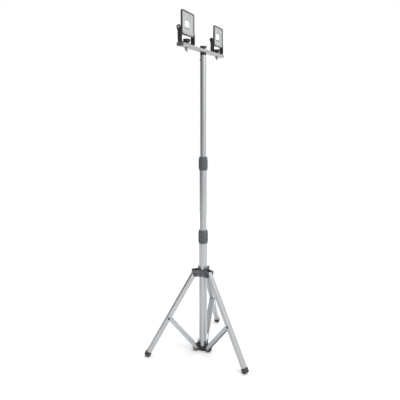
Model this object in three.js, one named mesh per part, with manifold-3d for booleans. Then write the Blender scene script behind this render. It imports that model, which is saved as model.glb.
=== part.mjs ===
// Work light: two LED flood heads on a crossbar, on a telescopic mast with a folding tripod.
// Millimetres, +Z up. The origin is on the mast's axis at floor level, +X runs along the
// crossbar and the lamps face -Y.

import * as THREE from "three";
import { mergeVertices } from "three/addons/utils/BufferGeometryUtils.js";
import Module from "manifold-3d";

// ---- Driving dimensions -------------------------------------------------------------------

const GAP = 0.3; // between pieces that touch on the real object
const SIDES = 24; // facets round the mast and its fittings
const PIN_SIDES = 10; // facets round pins, screws and their holes

// Mast tubes
const LOWER_TUBE = { radius: 17.5, wall: 1.6, top: 548 };
const MIDDLE_TUBE = { radius: 14.25, wall: 1.4, bottom: 385, top: 857 };
const UPPER_TUBE = { radius: 11.45, wall: 1.4, bottom: 797 };

// Twist collars at the tube joints
const LOWER_COLLAR = { below: 47, height: 56, wall: 2.9 }; // below: from its tube's top
const UPPER_COLLAR = { below: 45, height: 54, wall: 3.95 };
const COLLAR_END_STEP = 1.2; // the grip's ends are this much smaller in radius
const BUSH_DEPTH = 28; // how far a clamp bush reaches into its tube
const BUSH_FLANGE = 3; // thickness of its flange on the tube's end
const BUSH_SLOT = 2.5;

// Tripod
const LEG_AZIMUTHS = [4.12, 124.12, 244.12];
const LEG_WIDTH = 20;
const LEG_WALL = 1.2;
const LEG_CORNER = 2.5;
const LEG_ABOVE_PIN = 9; // leg tube above its top pin
const UPPER_PIN = { out: 21.5, z: 368 }; // out: from the lower tube
const LOWER_PIN = { out: 15.5, z: 13 };
const STRUT_PIN_ALONG_LEG = 227.6; // from the leg's top pin
const FOOT_RADIUS = 256; // where the leg's axis meets the floor
const PIN_RADIUS = 2.5;
const PIN_HEAD = { radius: 4.6, height: 2 };

// Upper hub, which slides on the lower tube
const HUB = { bottom: 355, top: 383, wall: 5.3, slide: 1.2 };
const HUB_CHEEK = { side: 0.9, wall: 4.5, past: 9, chamfer: 7, corner: 4 }; // past: the leg's pin
const HUB_PIN_PLAY = 1.6; // radial play of a leg on its top pin
const FIN = { offset: 7.5, wall: 3, base: 5.5, tip: 2.5, rise: 17 }; // base and tip: from the tube

// Lower hub, fixed to the foot of the mast
const BASE = { floor: 5, sleeve: 20, wall: 3.7, lugTop: 31 };
const BASE_FIN_TOP = 48;

// Struts: steel channels that close over the legs when the tripod folds
const STRUT = { wall: 1.2, side: 0.4, lip: 5, end: 7, notchLow: 36, notchHigh: 9 };

// Rubber feet
const FOOT = { wall: 1.6, length: 21, floor: 4, round: 4, corner: 4.5 };

// Hub lock screw
const LOCK = { azimuth: 64.12, z: 364, shaft: 3, boss: 7, proud: 5, knob: 9.5, knobLength: 11 };

// Crossbar
const BAR = { width: 24, height: 12, wall: 1.6, corner: 4, length: 436, bottom: 1266 };
const CAP = { proud: 0.4, length: 6, plug: 14, round: 2.2 };
const SOCKET = { flange: 12, flangeHeight: 8.7, plugDepth: 32 };
const SOCKET_SCREW = { azimuth: 124.12, below: 16.7, shaft: 1.8, head: 3, headHeight: 1.2, depth: 4.5 };
const STUD_RADIUS = 4;
const TOP_KNOB = { radius: 13.5, height: 9, stem: 6, stemHeight: 3, lobes: 7, studLength: 50 };

// Lamp brackets and their clamps
const LAMP_OFFSET = 164.5; // from the mast's axis to each lamp's centre, along the bar
const BRACKET = { wall: 2.5, depth: 16, bend: 6, ring: 8, setBack: 4, pivotHeight: 48 };
const BRACKET_KNOB = { radius: 14, height: 10, stem: 7, stemHeight: 4, lobes: 5, studLength: 38 };
const NUT = { flats: 13, height: 6.5 };

// Lamps: Y and Z here are from the tilt axis
const LAMP = { width: 110, height: 78, corner: 8, rim: 6, face: -12, centre: 17, lip: 3 };
const BODY = { inset: 14, back: -1, wall: 2 }; // the raised back behind the light chamber
const LENS = { thickness: 2.5, recess: 0.3 };
const REFLECTOR = { flange: 0.8, back: -5.2, border: 2.5, throat: 3 };
const LED = { width: 30, height: 23, board: 1.6, chip: 0.7, margin: 14 };
const DRIVER = { width: 70, bottom: -17, top: 9, back: 8, wall: 4, cover: 2.2, corner: 3 };
const TILT_BOSS = 7;
const TILT_SCREW = { shaft: 2.5, head: 4, headHeight: 2.6, length: 12 };
const COOLING_FIN = { count: 9, wall: 1.8, bottom: 12, top: 40, back: 1.5, margin: 6 };
const WIRE_HOLE = { radius: 2.5, z: 2 }; // from the light chamber to the driver box
const GLAND = { z: -4, thread: 6, flange: 8, flangeHeight: 4, domeLength: 6, bore: 3.2 };

// ---- Derived places -----------------------------------------------------------------------

const legHalf = LEG_WIDTH / 2;
UPPER_PIN.radius = LOWER_TUBE.radius + UPPER_PIN.out;
LOWER_PIN.radius = LOWER_TUBE.radius + LOWER_PIN.out;
const legRun = new THREE.Vector2(FOOT_RADIUS - UPPER_PIN.radius, -UPPER_PIN.z);
const legAngle = Math.atan2(legRun.x, -legRun.y); // from vertical
const strutPin = {
  radius: UPPER_PIN.radius + STRUT_PIN_ALONG_LEG * Math.sin(legAngle),
  z: UPPER_PIN.z - STRUT_PIN_ALONG_LEG * Math.cos(legAngle),
};
const strutRun = new THREE.Vector2(strutPin.radius - LOWER_PIN.radius, strutPin.z - LOWER_PIN.z);
const strutLength = strutRun.length();
const strutAngle = Math.atan2(strutRun.x, strutRun.y); // from vertical
const strutInner = legHalf + STRUT.side;
const strutOuter = strutInner + STRUT.wall;
const cheekInner = legHalf + HUB_CHEEK.side;
const cheekOuter = cheekInner + HUB_CHEEK.wall;
const holeRadius = PIN_RADIUS + GAP;
const hubBore = LOWER_TUBE.radius + HUB.slide;
const baseBore = LOWER_TUBE.radius + GAP;
const hubRing = hubBore + HUB.wall;
const baseRing = baseBore + BASE.wall;
const cheekReach = UPPER_PIN.radius + HUB_CHEEK.past;
const bossReach = hubRing + LOCK.proud;
UPPER_TUBE.top = BAR.bottom - 2 * GAP - SOCKET.flangeHeight;
const barTop = BAR.bottom + BAR.height;
const barMiddle = BAR.bottom + BAR.height / 2;
const studHole = STUD_RADIUS + GAP;
const bracketBase = barTop + GAP;
const tiltAxisZ = barTop + BRACKET.pivotHeight;
const armInner = LAMP.width / 2 + 2;
const armOuter = armInner + BRACKET.wall;
const clampSeat = bracketBase + BRACKET.wall + GAP;
const metalRim = LAMP.face + LAMP.rim;
const flangeSeat = LAMP.face + LENS.recess + LENS.thickness + GAP;

// ---- Materials ----------------------------------------------------------------------------

function material(color, roughness, metalness) {
  return new THREE.MeshStandardMaterial({ color, roughness, metalness });
}

const aluminium = material("#c3c5c7", 0.34, 1);
const zincPlate = material("#b9bcc0", 0.3, 1);
const paintedSteel = material("#27282a", 0.5, 0);
const castHousing = material("#33363a", 0.55, 0);
const greyPlastic = material("#55585b", 0.55, 0);
const blackPlastic = material("#26272a", 0.5, 0);
const rubber = material("#3d3e40", 0.8, 0);
const glass = material("#e8eef0", 0.08, 0);
const reflectorFilm = material("#d0d2d4", 0.3, 0);
const ledWhite = material("#fbfaf3", 0.4, 0);

// ---- Solids -------------------------------------------------------------------------------

const wasm = await Module();
wasm.setup();

// A closed geometry as a solid with its faces outwards.
function solid(geometry) {
  const bare = geometry.index ? geometry.toNonIndexed() : geometry.clone();
  bare.deleteAttribute("normal");
  bare.deleteAttribute("uv");
  const merged = mergeVertices(bare, 1e-4);
  const corners = merged.index.array;
  const points = merged.attributes.position;
  const kept = [];
  const a = new THREE.Vector3();
  const b = new THREE.Vector3();
  const c = new THREE.Vector3();
  let volume = 0;
  for (let i = 0; i < corners.length; i += 3) {
    const [p, q, r] = [corners[i], corners[i + 1], corners[i + 2]];
    if (p === q || q === r || r === p) continue;
    a.fromBufferAttribute(points, p);
    b.fromBufferAttribute(points, q);
    c.fromBufferAttribute(points, r);
    volume += a.dot(b.cross(c));
    kept.push(p, q, r);
  }
  if (volume < 0) kept.reverse();
  const mesh = new wasm.Mesh({
    numProp: 3,
    vertProperties: points.array,
    triVerts: new Uint32Array(kept),
  });
  return new wasm.Manifold(mesh);
}

function join(first, ...others) {
  return others.reduce((sum, other) => sum.add(other), first);
}

function cut(body, ...tools) {
  return tools.reduce((rest, tool) => rest.subtract(tool), body);
}

function box(x0, x1, y0, y1, z0, z1) {
  const geometry = new THREE.BoxGeometry(x1 - x0, y1 - y0, z1 - z0);
  return solid(geometry.translate((x0 + x1) / 2, (y0 + y1) / 2, (z0 + z1) / 2));
}

// The three ways an outline is drawn: its own X and Y, and the way it is pulled.
const UP = [new THREE.Vector3(1, 0, 0), new THREE.Vector3(0, 1, 0), new THREE.Vector3(0, 0, 1)];
const ALONG_X = [new THREE.Vector3(0, 1, 0), new THREE.Vector3(0, 0, 1), new THREE.Vector3(1, 0, 0)];
const BACK = [new THREE.Vector3(1, 0, 0), new THREE.Vector3(0, 0, 1), new THREE.Vector3(0, -1, 0)];

// An outline pulled from one height to another: along +Z, along +X, or along +Y for an XZ outline.
function pulled(shape, way, from, to, round = 0) {
  const steps = Math.min(2, Math.ceil(round));
  const geometry = new THREE.ExtrudeGeometry(shape, {
    depth: to - from - 2 * round,
    bevelEnabled: round > 0,
    bevelThickness: round,
    bevelSize: round,
    bevelOffset: -round,
    bevelSegments: steps,
    curveSegments: 3,
  });
  geometry.translate(0, 0, round);
  geometry.applyMatrix4(new THREE.Matrix4().makeBasis(...way));
  if (way === BACK) geometry.translate(0, to, 0);
  else geometry.translate(way[2].x * from, 0, way[2].z * from);
  return solid(geometry);
}

// A profile of [radius, z] points turned round the Z axis, or round X or Y.
function turned(profile, sides, axis = "z") {
  const points = profile.map(([radius, z]) => new THREE.Vector2(radius, z));
  const geometry = new THREE.LatheGeometry(points, sides).rotateX(Math.PI / 2);
  if (axis === "x") geometry.rotateY(Math.PI / 2);
  if (axis === "y") geometry.rotateX(-Math.PI / 2);
  return solid(geometry);
}

function rod(radius, from, to, sides, axis = "z") {
  return turned([[0, from], [radius, from], [radius, to], [0, to]], sides, axis);
}

function pipe(inner, outer, from, to, sides) {
  return turned([[inner, from], [outer, from], [outer, to], [inner, to], [inner, from]], sides);
}

// The same solid moved by a turn about Z and a shift.
function placed(body, azimuth, x = 0, y = 0, z = 0) {
  const geometry = geometryOf(body);
  geometry.rotateZ(THREE.MathUtils.degToRad(azimuth));
  return solid(geometry.translate(x, y, z));
}

function geometryOf(body) {
  const mesh = body.getMesh();
  const points = new Float32Array(mesh.numVert * 3);
  for (let i = 0; i < mesh.numVert; i++) {
    points.set(mesh.vertProperties.subarray(i * mesh.numProp, i * mesh.numProp + 3), i * 3);
  }
  const geometry = new THREE.BufferGeometry();
  geometry.setAttribute("position", new THREE.BufferAttribute(points, 3));
  geometry.setIndex(new THREE.BufferAttribute(mesh.triVerts, 1));
  return geometry;
}

// ---- Outlines -----------------------------------------------------------------------------

function polygon(points) {
  return new THREE.Shape(points.map(([x, y]) => new THREE.Vector2(x, y)));
}

function roundedRect(width, height, corner, x = 0, y = 0) {
  const right = x + width / 2;
  const left = x - width / 2;
  const top = y + height / 2;
  const bottom = y - height / 2;
  const shape = new THREE.Shape();
  shape.moveTo(left + corner, bottom);
  shape.lineTo(right - corner, bottom);
  shape.absarc(right - corner, bottom + corner, corner, -Math.PI / 2, 0);
  shape.lineTo(right, top - corner);
  shape.absarc(right - corner, top - corner, corner, 0, Math.PI / 2);
  shape.lineTo(left + corner, top);
  shape.absarc(left + corner, top - corner, corner, Math.PI / 2, Math.PI);
  shape.lineTo(left, bottom + corner);
  shape.absarc(left + corner, bottom + corner, corner, Math.PI, 1.5 * Math.PI);
  return shape;
}

// A hand knob's outline, with its grips as waves round the rim.
function lobedOutline(radius, lobes, depth) {
  const stepsPerLobe = 6;
  const points = [];
  for (let i = 0; i < lobes * stepsPerLobe; i++) {
    const turn = (2 * Math.PI * i) / (lobes * stepsPerLobe);
    const reach = radius - (depth * (1 - Math.cos(lobes * turn))) / 2;
    points.push([reach * Math.cos(turn), reach * Math.sin(turn)]);
  }
  return polygon(points);
}

function hexagon(flats) {
  const points = [];
  for (let i = 0; i < 6; i++) {
    const turn = (Math.PI / 3) * i;
    const reach = flats / Math.sqrt(3);
    points.push([reach * Math.cos(turn), reach * Math.sin(turn)]);
  }
  return polygon(points);
}

// ---- The scene ----------------------------------------------------------------------------

const workLight = new THREE.Group();

function add(parent, name, body, look) {
  const mesh = new THREE.Mesh(geometryOf(body), look);
  mesh.name = name;
  parent.add(mesh);
  return mesh;
}

function group(parent, x, y, z) {
  const made = new THREE.Group();
  made.position.set(x, y, z);
  parent.add(made);
  return made;
}

// ---- Mast ---------------------------------------------------------------------------------

function mastTube(tube, bottom) {
  return pipe(tube.radius - tube.wall, tube.radius, bottom, tube.top, SIDES);
}

// A slotted plastic bush between two tubes, with a flange on the outer tube's end.
function clampBush(outer, inner) {
  const bore = inner.radius + GAP;
  const skirt = outer.radius - outer.wall - GAP;
  const profile = [
    [bore, outer.top - BUSH_DEPTH],
    [skirt, outer.top - BUSH_DEPTH],
    [skirt, outer.top + GAP],
    [outer.radius, outer.top + GAP],
    [outer.radius, outer.top + GAP + BUSH_FLANGE],
    [bore, outer.top + GAP + BUSH_FLANGE],
    [bore, outer.top - BUSH_DEPTH],
  ];
  const half = BUSH_SLOT / 2;
  const slot = box(0, outer.radius + 1, -half, half, outer.top - BUSH_DEPTH - 1, outer.top + 10);
  return cut(turned(profile, SIDES), slot);
}

// A twist collar: a grip over the outer tube, with a rounded shoulder down to the inner tube.
function twistCollar(collar, outer, inner) {
  const bottom = outer.top - collar.below;
  const top = bottom + collar.height;
  const grip = outer.radius + GAP;
  const reach = grip + collar.wall;
  const throat = inner.radius + GAP;
  const shoulder = outer.top + 2 * GAP + BUSH_FLANGE;
  const end = reach - COLLAR_END_STEP;
  const rim = throat + 0.62 * (reach - throat);
  const profile = [
    [grip, bottom],
    [end - 0.6, bottom],
    [end, bottom + 1],
    [end, bottom + 6],
    [reach, bottom + 8],
    [reach, shoulder - 7],
    [end, shoulder - 5],
    [end - 0.4, top - 4],
    [(end + rim) / 2, top - 1.2],
    [rim, top],
    [throat, top],
    [throat, shoulder],
    [grip, shoulder],
    [grip, bottom],
  ];
  const half = BUSH_SLOT / 2;
  const notch = box(rim - 1.4, reach + 1, -half, half, top - 4, top + 1);
  return cut(turned(profile, SIDES), notch);
}

add(workLight, "lower_tube", mastTube(LOWER_TUBE, BASE.floor + GAP), aluminium);
add(workLight, "lower_bush", clampBush(LOWER_TUBE, MIDDLE_TUBE), blackPlastic);
add(workLight, "lower_collar", twistCollar(LOWER_COLLAR, LOWER_TUBE, MIDDLE_TUBE), greyPlastic);
add(workLight, "middle_tube", mastTube(MIDDLE_TUBE, MIDDLE_TUBE.bottom), aluminium);
add(workLight, "upper_bush", clampBush(MIDDLE_TUBE, UPPER_TUBE), blackPlastic);
add(workLight, "upper_collar", twistCollar(UPPER_COLLAR, MIDDLE_TUBE, UPPER_TUBE), greyPlastic);

// ---- Top of the mast: socket, set screw and clamp knob --------------------------------------

const screwZ = UPPER_TUBE.top - SOCKET_SCREW.below;

// A radial hole at the set screw's place.
function setScrewHole() {
  const hole = rod(SOCKET_SCREW.shaft + GAP, 0, UPPER_TUBE.radius + 2, PIN_SIDES, "x");
  return placed(hole, SOCKET_SCREW.azimuth, 0, 0, screwZ);
}

function upperTube() {
  return cut(mastTube(UPPER_TUBE, UPPER_TUBE.bottom), setScrewHole());
}

function barSocket() {
  const plug = UPPER_TUBE.radius - UPPER_TUBE.wall - GAP;
  const seat = UPPER_TUBE.top + GAP;
  const profile = [
    [studHole, UPPER_TUBE.top - SOCKET.plugDepth],
    [plug, UPPER_TUBE.top - SOCKET.plugDepth],
    [plug, seat],
    [SOCKET.flange, seat],
    [SOCKET.flange, BAR.bottom - GAP],
    [studHole, BAR.bottom - GAP],
    [studHole, UPPER_TUBE.top - SOCKET.plugDepth],
  ];
  return cut(turned(profile, SIDES), setScrewHole());
}

function setScrew() {
  const head = UPPER_TUBE.radius + GAP;
  const profile = [
    [0, head - SOCKET_SCREW.depth],
    [SOCKET_SCREW.shaft, head - SOCKET_SCREW.depth],
    [SOCKET_SCREW.shaft, head],
    [SOCKET_SCREW.head, head],
    [SOCKET_SCREW.head - 0.6, head + SOCKET_SCREW.headHeight],
    [0, head + SOCKET_SCREW.headHeight],
  ];
  return placed(turned(profile, PIN_SIDES, "x"), SOCKET_SCREW.azimuth, 0, 0, screwZ);
}

// A lobed knob with a stem below and a blind hole for its stud; z = 0 is the stem's foot.
function handKnob(knob) {
  const outline = lobedOutline(knob.radius, knob.lobes, 0.16 * knob.radius);
  const total = knob.stemHeight + knob.height;
  const head = pulled(outline, UP, knob.stemHeight, total, 1.6);
  const stem = rod(knob.stem, 0, total / 2, SIDES / 2);
  const hole = rod(studHole, -1, total - 4, PIN_SIDES);
  return cut(join(head, stem), hole);
}

// The stud moulded into a knob, hanging below it.
function knobStud(knob) {
  const top = knob.stemHeight + knob.height - 4 - GAP;
  const tip = 1;
  const profile = [
    [0, top - knob.studLength],
    [STUD_RADIUS - tip, top - knob.studLength],
    [STUD_RADIUS, top - knob.studLength + tip],
    [STUD_RADIUS, top],
    [0, top],
  ];
  return turned(profile, PIN_SIDES);
}

add(workLight, "upper_tube", upperTube(), aluminium);
add(workLight, "bar_socket", barSocket(), blackPlastic);
add(workLight, "socket_screw", setScrew(), paintedSteel);

const topClamp = group(workLight, 0, 0, barTop + GAP);
add(topClamp, "top_knob", handKnob(TOP_KNOB), blackPlastic);
add(topClamp, "top_knob_stud", knobStud(TOP_KNOB), zincPlate);

// ---- Crossbar -------------------------------------------------------------------------------

function crossbar() {
  const half = BAR.length / 2;
  const outer = roundedRect(BAR.width, BAR.height, BAR.corner);
  const bore = roundedRect(
    BAR.width - 2 * BAR.wall,
    BAR.height - 2 * BAR.wall,
    BAR.corner - BAR.wall,
  );
  const tube = cut(pulled(outer, ALONG_X, -half, half), pulled(bore, ALONG_X, -half - 1, half + 1));
  const holes = [-LAMP_OFFSET, 0, LAMP_OFFSET].map((x) =>
    placed(rod(studHole, -BAR.height, BAR.height, PIN_SIDES), 0, x, 0, 0),
  );
  return cut(tube, ...holes);
}

// A push-in end cap at the bar's +X end; the other is the same piece turned round.
function endCap() {
  const end = BAR.length / 2 + GAP;
  const inset = 2 * (BAR.wall + GAP);
  const face = roundedRect(BAR.width + CAP.proud, BAR.height + CAP.proud, BAR.corner);
  const plug = roundedRect(BAR.width - inset, BAR.height - inset, BAR.corner - BAR.wall - GAP);
  const head = pulled(face, ALONG_X, end - CAP.round, end + CAP.length, CAP.round);
  const trimmed = cut(head, box(0, end, -BAR.width, BAR.width, -BAR.height, BAR.height));
  return join(trimmed, pulled(plug, ALONG_X, end - CAP.plug, end + 1));
}

const bar = group(workLight, 0, 0, barMiddle);
add(bar, "crossbar", crossbar(), aluminium);
add(bar, "end_cap_right", endCap(), greyPlastic);
add(bar, "end_cap_left", endCap(), greyPlastic).rotation.z = Math.PI;

// ---- Lamp bracket ---------------------------------------------------------------------------

// A bent strap; z = 0 is its underside and x = 0 its bolt.
function lampBracket() {
  const pivot = tiltAxisZ - bracketBase;
  const bendTop = pivot - 20;
  const inside = BRACKET.bend - BRACKET.wall;
  const strap = new THREE.Shape();
  strap.moveTo(-armOuter, bendTop);
  strap.lineTo(-armOuter, BRACKET.bend);
  strap.absarc(-armOuter + BRACKET.bend, BRACKET.bend, BRACKET.bend, Math.PI, 1.5 * Math.PI);
  strap.lineTo(armOuter - BRACKET.bend, 0);
  strap.absarc(armOuter - BRACKET.bend, BRACKET.bend, BRACKET.bend, -Math.PI / 2, 0);
  strap.lineTo(armOuter, bendTop);
  strap.lineTo(armInner, bendTop);
  strap.lineTo(armInner, BRACKET.bend);
  strap.absarc(armInner - inside, BRACKET.bend, inside, 0, -Math.PI / 2, true);
  strap.lineTo(-armInner + inside, BRACKET.wall);
  strap.absarc(-armInner + inside, BRACKET.bend, inside, -Math.PI / 2, -Math.PI, true);
  strap.lineTo(-armInner, bendTop);
  const half = BRACKET.depth / 2;
  const arm = new THREE.Shape();
  arm.moveTo(-half, bendTop - 1);
  arm.lineTo(half, bendTop - 1);
  arm.lineTo(half, pivot - 12);
  arm.lineTo(BRACKET.setBack + BRACKET.ring, pivot);
  arm.absarc(BRACKET.setBack, pivot, BRACKET.ring, 0, Math.PI);
  arm.lineTo(-half, pivot - 12);
  const pivotHole = rod(TILT_SCREW.shaft + GAP, -armOuter - 1, armOuter + 1, PIN_SIDES, "x");
  return cut(
    join(
      pulled(strap, BACK, -half, half),
      pulled(arm, ALONG_X, -armOuter, -armInner),
      pulled(arm, ALONG_X, armInner, armOuter),
    ),
    placed(pivotHole, 0, 0, BRACKET.setBack, pivot),
    rod(studHole, -1, BRACKET.wall + 1, PIN_SIDES),
  );
}

function studNut() {
  const nut = pulled(hexagon(NUT.flats), UP, -NUT.height, 0);
  return cut(nut, rod(studHole, -NUT.height - 1, 1, PIN_SIDES));
}

// ---- Lamp -----------------------------------------------------------------------------------

function lampRect(margin, corner) {
  return roundedRect(LAMP.width - 2 * margin, LAMP.height - 2 * margin, corner, 0, LAMP.centre);
}

const chamberMargin = BODY.inset + BODY.wall;
const chamberFloor = BODY.back - BODY.wall;
const driverHeight = DRIVER.top - DRIVER.bottom;
const driverMiddle = (DRIVER.top + DRIVER.bottom) / 2;

function lampHousing() {
  const rim = pulled(lampRect(0, LAMP.corner), BACK, LAMP.face, metalRim);
  const back = pulled(lampRect(BODY.inset, LAMP.corner - 2), BACK, metalRim - 1, BODY.back);
  const driverRect = roundedRect(DRIVER.width, driverHeight, DRIVER.corner, 0, driverMiddle);
  const driverBox = pulled(driverRect, BACK, metalRim - 1, DRIVER.back);
  const driverRoom = box(
    -DRIVER.width / 2 + DRIVER.wall,
    DRIVER.width / 2 - DRIVER.wall,
    BODY.back,
    DRIVER.back + 1,
    DRIVER.bottom + DRIVER.wall,
    DRIVER.top - DRIVER.wall,
  );
  const fins = [];
  const field = LAMP.width - 2 * (BODY.inset + COOLING_FIN.margin);
  const pitch = (field - COOLING_FIN.wall) / (COOLING_FIN.count - 1);
  for (let i = 0; i < COOLING_FIN.count; i++) {
    const x = (i - (COOLING_FIN.count - 1) / 2) * pitch;
    const half = COOLING_FIN.wall / 2;
    fins.push(
      box(x - half, x + half, BODY.back - 1, COOLING_FIN.back, COOLING_FIN.bottom, COOLING_FIN.top),
    );
  }
  const bossEnd = armInner - GAP;
  const boss = rod(TILT_BOSS, -bossEnd, bossEnd, 2 * PIN_SIDES, "x");
  const seat = pulled(lampRect(LAMP.lip, LAMP.corner - 2), BACK, LAMP.face - 1, flangeSeat + 1.1);
  const chamber = pulled(lampRect(chamberMargin, 4), BACK, LAMP.face - 1, chamberFloor);
  const screwHole = rod(TILT_SCREW.shaft + GAP, -bossEnd - 1, bossEnd + 1, PIN_SIDES, "x");
  const wireWay = rod(WIRE_HOLE.radius, chamberFloor - 1, BODY.back + 1, PIN_SIDES, "y");
  const wireHole = placed(wireWay, 0, 0, 0, WIRE_HOLE.z);
  return cut(
    join(rim, back, driverBox, boss, ...fins),
    driverRoom,
    seat,
    chamber,
    screwHole,
    wireHole,
  );
}

function lampLens() {
  const front = LAMP.face + LENS.recess;
  return pulled(lampRect(LAMP.lip + GAP, LAMP.corner - 2), BACK, front, front + LENS.thickness);
}

// A four-sided funnel between two centred rectangles at two depths.
function funnel(front, frontY, back, backY) {
  const geometry = new THREE.BoxGeometry(1, 1, 1);
  const points = geometry.attributes.position;
  for (let i = 0; i < points.count; i++) {
    const end = points.getY(i) < 0 ? front : back;
    const y = points.getY(i) < 0 ? frontY : backY;
    points.setXYZ(
      i,
      Math.sign(points.getX(i)) * (end.width / 2),
      y,
      LAMP.centre + Math.sign(points.getZ(i)) * (end.height / 2),
    );
  }
  return solid(geometry);
}

function lampReflector() {
  const flangeBack = flangeSeat + REFLECTOR.flange;
  const flange = pulled(lampRect(LAMP.lip + GAP, LAMP.corner - 2), BACK, flangeSeat, flangeBack);
  const dish = pulled(lampRect(chamberMargin + GAP, 4), BACK, flangeBack - 0.5, REFLECTOR.back);
  const border = LAMP.lip + GAP + REFLECTOR.border;
  const mouth = { width: LAMP.width - 2 * border, height: LAMP.height - 2 * border };
  const throat = { width: LED.width + REFLECTOR.throat, height: LED.height + REFLECTOR.throat };
  const knee = chamberMargin + 2;
  const shoulder = { width: LAMP.width - 2 * knee, height: LAMP.height - 2 * knee };
  return cut(
    join(flange, dish),
    funnel(mouth, flangeSeat - 0.1, shoulder, flangeBack),
    funnel(shoulder, flangeBack - 0.1, throat, REFLECTOR.back - 0.6),
    funnel(throat, REFLECTOR.back - 1, throat, REFLECTOR.back + 1),
  );
}

function ledBoard() {
  const back = chamberFloor - GAP;
  const front = back - LED.board;
  const board = roundedRect(LED.width + LED.margin, LED.height + LED.margin, 2, 0, LAMP.centre);
  const chip = roundedRect(LED.width, LED.height, 1, 0, LAMP.centre);
  return join(pulled(board, BACK, front, back), pulled(chip, BACK, front - LED.chip, front + 0.5));
}

function driverCover() {
  const rect = roundedRect(DRIVER.width, driverHeight, DRIVER.corner, 0, driverMiddle);
  const seat = DRIVER.back + GAP;
  const plate = pulled(rect, BACK, seat, seat + DRIVER.cover, 0.8);
  const hole = rod(GLAND.thread + GAP, seat - 1, seat + DRIVER.cover + 1, 2 * PIN_SIDES, "y");
  return cut(plate, placed(hole, 0, 0, 0, GLAND.z));
}

function cableGland() {
  const seat = DRIVER.back + DRIVER.cover + 2 * GAP;
  const inside = seat - DRIVER.cover - 5;
  const dome = seat + GLAND.flangeHeight;
  const tip = dome + GLAND.domeLength;
  const profile = [
    [GLAND.bore, inside],
    [GLAND.thread, inside],
    [GLAND.thread, seat],
    [GLAND.flange, seat],
    [GLAND.flange, dome],
    [GLAND.flange - 1.2, dome],
    [GLAND.flange - 1.8, tip - 2],
    [GLAND.bore + 1.5, tip],
    [GLAND.bore, tip],
    [GLAND.bore, inside],
  ];
  return placed(turned(profile, 2 * PIN_SIDES, "y"), 0, 0, 0, GLAND.z);
}

// The right-hand tilt screw; the other is the same piece turned round.
function tiltScrew() {
  const seat = armOuter + GAP;
  const profile = [
    [0, seat - TILT_SCREW.length],
    [TILT_SCREW.shaft, seat - TILT_SCREW.length],
    [TILT_SCREW.shaft, seat],
    [TILT_SCREW.head, seat],
    [TILT_SCREW.head, seat + TILT_SCREW.headHeight - 1],
    [TILT_SCREW.head - 1, seat + TILT_SCREW.headHeight],
    [0, seat + TILT_SCREW.headHeight],
  ];
  return turned(profile, PIN_SIDES, "x");
}

for (const [side, x] of [["left", -LAMP_OFFSET], ["right", LAMP_OFFSET]]) {
  const bracket = group(workLight, x, 0, bracketBase);
  add(bracket, "bracket_" + side, lampBracket(), paintedSteel);

  const clamp = group(workLight, x, 0, clampSeat);
  add(clamp, "bracket_knob_" + side, handKnob(BRACKET_KNOB), blackPlastic);
  add(clamp, "bracket_stud_" + side, knobStud(BRACKET_KNOB), zincPlate);

  const underBar = group(workLight, x, 0, BAR.bottom - GAP);
  add(underBar, "stud_nut_" + side, studNut(), zincPlate);

  const lamp = group(workLight, x, BRACKET.setBack, tiltAxisZ);
  add(lamp, "lamp_housing_" + side, lampHousing(), castHousing);
  add(lamp, "driver_cover_" + side, driverCover(), castHousing);
  add(lamp, "cable_gland_" + side, cableGland(), blackPlastic);
  add(lamp, "led_board_" + side, ledBoard(), ledWhite);
  add(lamp, "reflector_" + side, lampReflector(), reflectorFilm);
  add(lamp, "lens_" + side, lampLens(), glass);
  add(lamp, "tilt_screw_outer_" + side, tiltScrew(), zincPlate);
  add(lamp, "tilt_screw_inner_" + side, tiltScrew(), paintedSteel);
  const turnedRound = side === "left" ? "tilt_screw_outer_" : "tilt_screw_inner_";
  lamp.getObjectByName(turnedRound + side).rotation.z = Math.PI;
}

// ---- Hubs -----------------------------------------------------------------------------------

// Two tapered fins that stand on a hub beside the tube, one each side of a lug.
function tubeFins(bottom, top) {
  const tip = LOWER_TUBE.radius + FIN.tip;
  const outline = polygon([
    [tip - 5, bottom],
    [LOWER_TUBE.radius + FIN.base, bottom],
    [tip, top],
    [tip - 5, top],
  ]);
  return [-FIN.offset, FIN.offset].map((y) =>
    pulled(outline, BACK, y - FIN.wall / 2, y + FIN.wall / 2),
  );
}

function lowerHub() {
  const lug = new THREE.Shape();
  lug.moveTo(baseRing / 2, 0);
  lug.lineTo(LOWER_PIN.radius, 0);
  lug.absarc(LOWER_PIN.radius, LOWER_PIN.z, LOWER_PIN.z, -Math.PI / 2, 0.6 * Math.PI);
  lug.lineTo(baseRing + 2, BASE.lugTop);
  lug.lineTo(baseRing / 2, BASE.lugTop);
  const half = strutInner - STRUT.side;
  const pinHole = placed(
    rod(holeRadius, -half - 1, half + 1, PIN_SIDES, "y"),
    0,
    LOWER_PIN.radius,
    0,
    LOWER_PIN.z,
  );
  const arm = cut(pulled(lug, BACK, -half, half), pinHole);
  const fins = tubeFins(BASE.lugTop - 5, BASE_FIN_TOP);
  const arms = LEG_AZIMUTHS.map((azimuth) => placed(join(arm, ...fins), azimuth));
  return cut(
    join(rod(baseRing, 0, BASE.sleeve, SIDES), ...arms),
    rod(baseBore, BASE.floor, BASE_FIN_TOP + 1, SIDES),
  );
}

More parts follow.
